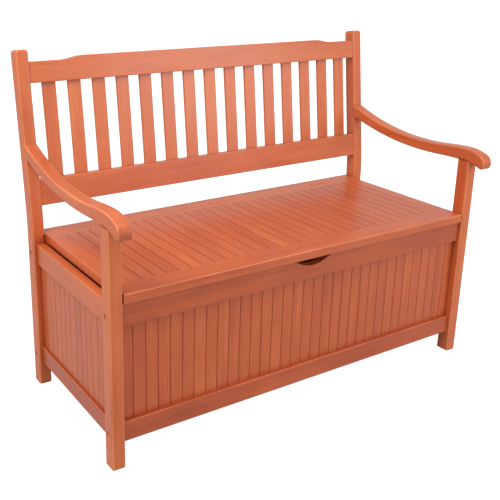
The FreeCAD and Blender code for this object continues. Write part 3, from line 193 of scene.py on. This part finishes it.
class Shader:
    """The node tree of a material or a world, built from left to right."""

    def __init__(self, owner, shown):
        owner.use_nodes = True
        self.owner = owner
        self.tree = owner.node_tree
        self.shown = self.tree.nodes[shown]
        self.count = 0

    def add(self, kind, inputs=None, **settings):
        """A node with its settings, and its inputs linked from sockets or set to values."""
        node = self.tree.nodes.new(kind)
        node.location = (self.count * NODE_STEP[0], self.count % NODE_RUN * NODE_STEP[1])
        self.count += 1
        for name, value in settings.items():
            setattr(node, name, value)
        for name, value in (inputs or {}).items():
            self.feed(node.inputs[name], value)
        return node

    def feed(self, socket, value):
        """Link a socket to another, or set it to a value."""
        if isinstance(value, bpy.types.NodeSocket):
            self.tree.links.new(value, socket)
        else:
            socket.default_value = value

    def show(self, inputs):
        """Feed the node that gives the tree its look."""
        for name, value in inputs.items():
            self.feed(self.shown.inputs[name], value)

    def math(self, operation, first, second=0.0, third=0.0):
        """An operation on numbers or sockets."""
        inputs = {0: first, 1: second, 2: third}
        return self.add("ShaderNodeMath", inputs, operation=operation).outputs[0]

    def vector(self, operation, first, second=(0.0, 0.0, 0.0)):
        """An operation on vectors."""
        inputs = {0: first, 1: second}
        return self.add("ShaderNodeVectorMath", inputs, operation=operation).outputs[0]

    def range(self, value, low, high, to_low=0.0, to_high=1.0):
        """A value stretched smoothly from one range to another, held at both ends."""
        inputs = {"Value": value, "From Min": low, "From Max": high,
                  "To Min": to_low, "To Max": to_high}
        return self.add("ShaderNodeMapRange", inputs, interpolation_type="SMOOTHSTEP").outputs[0]

    def noise(self, place, waves, detail=2.0, distortion=0.0, rough=0.5):
        """Soft noise at a place, with so many waves along each axis."""
        stretched = self.vector("MULTIPLY", place, waves)
        inputs = {"Vector": stretched, "Scale": 1.0, "Detail": detail, "Roughness": rough,
                  "Distortion": distortion}
        return self.add("ShaderNodeTexNoise", inputs).outputs[0]

    def mix(self, share, first, second, blend="MIX"):
        """Two colours mixed by a share."""
        inputs = {MIX_SHARE: share, MIX_FIRST: first, MIX_SECOND: second}
        node = self.add("ShaderNodeMix", data_type="RGBA", blend_type=blend)
        for socket, value in inputs.items():
            self.feed(node.inputs[socket], value)
        return node.outputs[MIX_RESULT]

    def tint(self, share, colour, plain):
        """A colour with a share of a plain one mixed into it."""
        return self.mix(share, colour, (*plain, 1.0))

    def ramp(self, value, stops):
        """A colour looked up along a line of stops."""
        node = self.add("ShaderNodeValToRGB", {"Fac": value})
        while len(node.color_ramp.elements) < len(stops):
            node.color_ramp.elements.new(0.5)
        for element, (place, colour) in zip(node.color_ramp.elements, stops):
            element.position = place
            element.color = (*colour, 1.0)
        return node.outputs[0]

    def finish(self, colour, roughness, height, relief, constants):
        """Join a material's surface up: colour, roughness and a relief of so many metres."""
        bump = self.add("ShaderNodeBump", {"Height": height, "Distance": relief, "Strength": 1.0})
        self.show({"Base Color": colour, "Roughness": roughness, "Normal": bump.outputs[0],
                   **constants})
        return self.owner


def new_material(name):
    """The shader of a new material."""
    return Shader(bpy.data.materials.new(name), "Principled BSDF")


# ------------------------------------------------------------------------ materials

def wood(name, grain, seed, boards=None, tone_and_shade=0.0, groove_shade_strength=GROOVE_SHADE_STRENGTH, corner=CORNER_SHADE):
    """Stained, varnished hardwood with its grain along one direction.

    boards is (axis, start, pitch) for a row of boards in one piece: each board then gets its own
    cut of the grain and its own shade, and painted shade darkens it along its edges, in the
    grooves between the boards, as strongly as the groove setting says.  The tone argument makes
    the whole piece lighter or darker, partly as a real difference of stain and partly as painted
    shade and light, and the corner argument is how strongly painted shade darkens inside corners
    and under overhangs."""
    shade = new_material(name)
    chance = random.Random(seed)
    offset = tuple(chance.uniform(-LOG_SPREAD, LOG_SPREAD) for _ in range(3))
    tone_and_shade += chance.uniform(-PIECE_VARIES, PIECE_VARIES)
    coordinates = shade.add("ShaderNodeTexCoord")
    spot = coordinates.outputs["Object"]
    cut = {"Vector": spot, "Rotation": GRAIN[grain], "Location": offset}
    place = shade.add("ShaderNodeMapping", cut).outputs[0]
    board_shade = tone_and_shade
    if boards:
        axis, start, pitch = boards
        across = shade.add("ShaderNodeSeparateXYZ", {0: spot}).outputs[axis]
        count = shade.math("DIVIDE", shade.math("SUBTRACT", across, start), pitch)
        number = shade.math("FLOOR", count)
        own = shade.add("ShaderNodeTexWhiteNoise", {"W": number}, noise_dimensions="1D").outputs
        own_cut = shade.vector("MULTIPLY", own["Color"], (BOARD_SPREAD,) * 3)
        place = shade.vector("ADD", place, own_cut)
        board_shade = shade.range(own["Value"], 0.0, 1.0, tone_and_shade - BOARD_VARIES, tone_and_shade + BOARD_VARIES)
        # painted shade: darker towards each board's edge, in the grooves
        to_edge = shade.math("PINGPONG", count, 0.5)
        groove_shade = shade.range(to_edge, 0.0, GROOVE_SHADE_REACH / pitch, 1.0, 0.0)

    # growth figure, bands, streaks and stain mottle, each swinging about its middle
    figure = shade.noise(place, FIGURE_WAVES, detail=3.0, distortion=FIGURE_BENDS)
    bands = shade.math("PINGPONG", shade.math("MULTIPLY", figure, BANDS_IN_FIGURE), 1.0)
    streaks = shade.noise(place, STREAK_WAVES, detail=3.0)
    mottle = shade.noise(place, MOTTLE_WAVES)
    body = 0.5
    for layer, swing in ((figure, FIGURE_SWING), (bands, BAND_SWING), (streaks, STREAK_SWING),
                         (mottle, MOTTLE_SWING)):
        body = shade.math("MULTIPLY_ADD", shade.math("SUBTRACT", layer, 0.5), swing, body)
    # the piece's tone, with its painted shade or light, shifts the whole stain
    colour = shade.ramp(shade.math("ADD", body, board_shade), STAIN_STOPS)

    # open pores are short dark dashes along the grain, between finer fibres
    pore_noise = shade.noise(place, PORE_WAVES, detail=1.0)
    pores = shade.range(pore_noise, *PORE_RANGE, 0.0, PORE_STAIN)
    colour = shade.tint(pores, colour, STAIN_DARK)
    fibre = shade.noise(place, FIBRE_WAVES, rough=0.6)
    fine = shade.range(fibre, *FIBRE_RANGE, *FIBRE_SHADE)
    grey = shade.add("ShaderNodeCombineColor", {0: fine, 1: fine, 2: fine}).outputs[0]
    colour = shade.mix(1.0, colour, grey, "MULTIPLY")

    # sawn ends drink more stain than the long grain
    facing = shade.add("ShaderNodeMapping",
                       {"Vector": coordinates.outputs["Normal"], "Rotation": GRAIN[grain]})
    turned_to = shade.add("ShaderNodeSeparateXYZ", {0: facing.outputs[0]}).outputs
    end_on = shade.math("ABSOLUTE", turned_to[0])
    colour = shade.tint(shade.range(end_on, *END_RANGE, 0.0, END_STAIN), colour, STAIN_DARK)
    # painted shade in the grooves between the boards
    if boards:
        colour = shade.tint(shade.math("MULTIPLY", groove_shade, groove_shade_strength), colour, STAIN_DARK)

    # painted shade: darker in inside corners and under overhangs, where little of the sky is open
    open_sky = shade.add("ShaderNodeAmbientOcclusion", {"Distance": CORNER_DEPTH},
                         samples=CORNER_SAMPLES).outputs["AO"]
    colour = shade.tint(shade.range(open_sky, *CORNER_RANGE, corner, 0.0), colour, STAIN_DARK)

    # and lighter in patches along the rounded edges, which face between the piece's own sides:
    # partly worn stain, partly a painted highlight
    if not boards:
        sideways = shade.math("ABSOLUTE", turned_to[1])
        square = shade.math("MULTIPLY", sideways, sideways)
        upright = shade.math("SQRT", shade.math("SUBTRACT", 1.0, square))
        squarely = shade.math("MAXIMUM", sideways, upright)
        patches = shade.range(mottle, *PATCH_RANGE, *PATCH_WEAR_AND_HIGHLIGHT)
        worn_and_highlit = shade.math("MULTIPLY", shade.range(squarely, *EDGE_RANGE, 1.0, 0.0), patches)
        colour = shade.tint(worn_and_highlit, colour, STAIN_WORN_AND_HIGHLIGHT)

    gloss = shade.math("ADD", streaks, mottle)
    roughness = shade.range(gloss, *GLOSS_RANGE, *VARNISH_ROUGHNESS)
    height = shade.math("SUBTRACT", shade.math("MULTIPLY_ADD", fibre, 0.5, streaks), pores)
    return shade.finish(colour, roughness, height, WOOD_RELIEF, VARNISH)


def hard_finish(name, clouds, fine, colours, roughness, relief, metallic):
    """A finish with cloudy patches of colour and a fine relief."""
    shade = new_material(name)
    spot = shade.add("ShaderNodeTexCoord").outputs["Object"]
    patches = shade.noise(spot, *clouds)
    height = shade.noise(spot, *fine)
    colour = shade.ramp(patches, colours)
    roughness = shade.range(patches, *CLOUD_RANGE, *roughness)
    return shade.finish(colour, roughness, height, relief, {"Metallic": metallic})


def floor_finish():
    """A pale matt studio floor, blown out to white for the camera."""
    shade = new_material("studio_floor")
    spot = shade.add("ShaderNodeTexCoord").outputs["Object"]
    path = shade.add("ShaderNodeLightPath").outputs
    mirrored = shade.math("MULTIPLY", path["Is Glossy Ray"], FLOOR_SHINE)
    glow = shade.math("MULTIPLY_ADD", path["Is Camera Ray"], FLOOR_GLOW, mirrored)
    shade.show({"Base Color": shade.ramp(shade.noise(spot, FLOOR_WAVES), FLOOR_STOPS),
                "Roughness": FLOOR_ROUGHNESS, "Emission Color": WHITE,
                "Emission Strength": glow})
    return shade.owner


# ------------------------------------------------------------------- who wears what

def dress(node, material):
    """Give a CAD node its material."""
    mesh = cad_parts[node].data
    mesh.materials.clear()
    mesh.materials.append(material)


def row_across(node, axis, count, gap=0.0):
    """(axis, start, pitch) of the boards that fill a node from one side to the other."""
    low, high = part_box(node)
    pitch = (high[axis] - low[axis] + gap) / count
    return axis, low[axis] - gap / 2, pitch


def both(*names):
    """The left and right pieces of these names."""
    return [f"{side}_{name}" for name in names for side in ("left", "right")]


def dress_wood():
    """Every wooden piece: its grain's direction, its boards and its shade."""
    rows = {
        "front_boards": row_across("front_boards", 0, WALL_BOARDS),
        "back_boards": row_across("back_boards", 0, WALL_BOARDS),
        "left_side_boards": row_across("left_side_boards", 1, SIDE_BOARDS),
        "right_side_boards": row_across("right_side_boards", 1, SIDE_BOARDS),
        "lid_slats": row_across("lid_slats", 0, LID_SLATS),
        "floor_boards": row_across("floor_boards", 0, FLOOR_BOARDS, FLOOR_GAP),
    }
    back_slats = [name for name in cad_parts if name.startswith("back_slat_")]
    runs = {
        "along": ["front_top_rail", "front_bottom_rail", "back_top_rail", "back_bottom_rail",
                  "floor_cleats", "backrest_top_rail", "backrest_bottom_rail", "rear_seat_board",
                  "lid_front_rail", "lid_rear_rail", "lid_front_batten", "lid_rear_batten"],
        "deep": ["lid_slats", "lid_left_rail", "lid_right_rail", "floor_boards",
                 *both("armrest", "side_top_rail", "side_bottom_rail")],
        "up": ["front_boards", "back_boards", *both("front_leg", "side_boards")],
        "post": both("rear_post"),
        "back": back_slats,
    }
    grains = {name: grain for grain, names in runs.items() for name in names}
    # each piece's tone carries a painted shade or light as well as its stain
    tones_and_shades = {**PIECE_TONES_AND_SHADES, **dict.fromkeys(back_slats, BACK_SLAT_TONE_AND_SHADE)}
    # the lid's grooves get a stronger painted shade
    groove_shade_strengths = {"lid_slats": LID_GROOVE_SHADE_STRENGTH}
    # a fainter painted shade where the legs meet the arms
    corner_shades = dict.fromkeys(both("front_leg", "armrest"), JOINT_SHADE)
    for seed, name in enumerate(sorted(grains)):
        finish = wood(f"wood_{name}", grains[name], seed, rows.get(name), tones_and_shades.get(name, 0.0),
                      groove_shade_strengths.get(name, GROOVE_SHADE_STRENGTH), corner_shades.get(name, CORNER_SHADE))
        dress(name, finish)


def dress_fixings():
    """Nuts and hidden screws, bolts and hinges, and the arms' pins."""
    for finish, names in FIXINGS.items():
        material = hard_finish(finish, **HARD_FINISHES[finish])
        for name in names:
            dress(name, material)


# --------------------------------------------------------------- floor, light, camera

def make_floor():
    """A wide level floor."""
    bpy.ops.mesh.primitive_plane_add(size=FLOOR_SIZE)
    floor = bpy.context.object
    floor.name = "studio_floor"
    floor.data.materials.append(floor_finish())


def make_world():
    """An even surround, which the camera itself sees as white."""
    sky = Shader(bpy.data.worlds.new("studio"), "Background")
    seen = sky.add("ShaderNodeLightPath").outputs["Is Camera Ray"]
    strength = sky.math("MULTIPLY_ADD", seen, 1.0 - SKY_LIGHT, SKY_LIGHT)
    sky.show({"Color": WHITE, "Strength": strength})
    scene.world = sky.owner


def make_softbox(name, place, target, wide, power):
    """A large square light that faces a target."""
    data = bpy.data.lights.new(name, "AREA")
    data.size = wide
    data.energy = power
    light = bpy.data.objects.new(name, data)
    light.location = place
    light.rotation_mode = "QUATERNION"
    light.rotation_quaternion = (Vector(target) - Vector(place)).to_track_quat("-Z", "Y")
    scene.collection.objects.link(light)


def make_camera():
    """The camera, turned by its three angles."""
    turn, dip, roll = CAMERA_TURN, CAMERA_DIP, CAMERA_ROLL
    ahead = Vector((math.sin(turn) * math.cos(dip), math.cos(turn) * math.cos(dip),
                    -math.sin(dip)))
    level = ahead.cross(Vector((0.0, 0.0, 1.0))).normalized()
    upright = level.cross(ahead)
    right = level * math.cos(roll) + upright * math.sin(roll)
    above = upright * math.cos(roll) - level * math.sin(roll)
    axes = Matrix((right, above, -ahead)).transposed()
    data = bpy.data.cameras.new("camera")
    data.sensor_width = SENSOR_WIDTH
    data.lens = FOCAL_LENGTH
    data.shift_x, data.shift_y = LENS_SHIFT
    camera = bpy.data.objects.new("camera", data)
    camera.matrix_world = Matrix.Translation(CAMERA_PLACE) @ axes.to_4x4()
    scene.collection.objects.link(camera)
    scene.camera = camera


scene.view_settings.view_transform = "Standard"
dress_wood()
dress_fixings()
make_floor()
make_world()
for softbox, settings in SOFTBOXES.items():
    make_softbox(softbox, *settings)
make_camera()
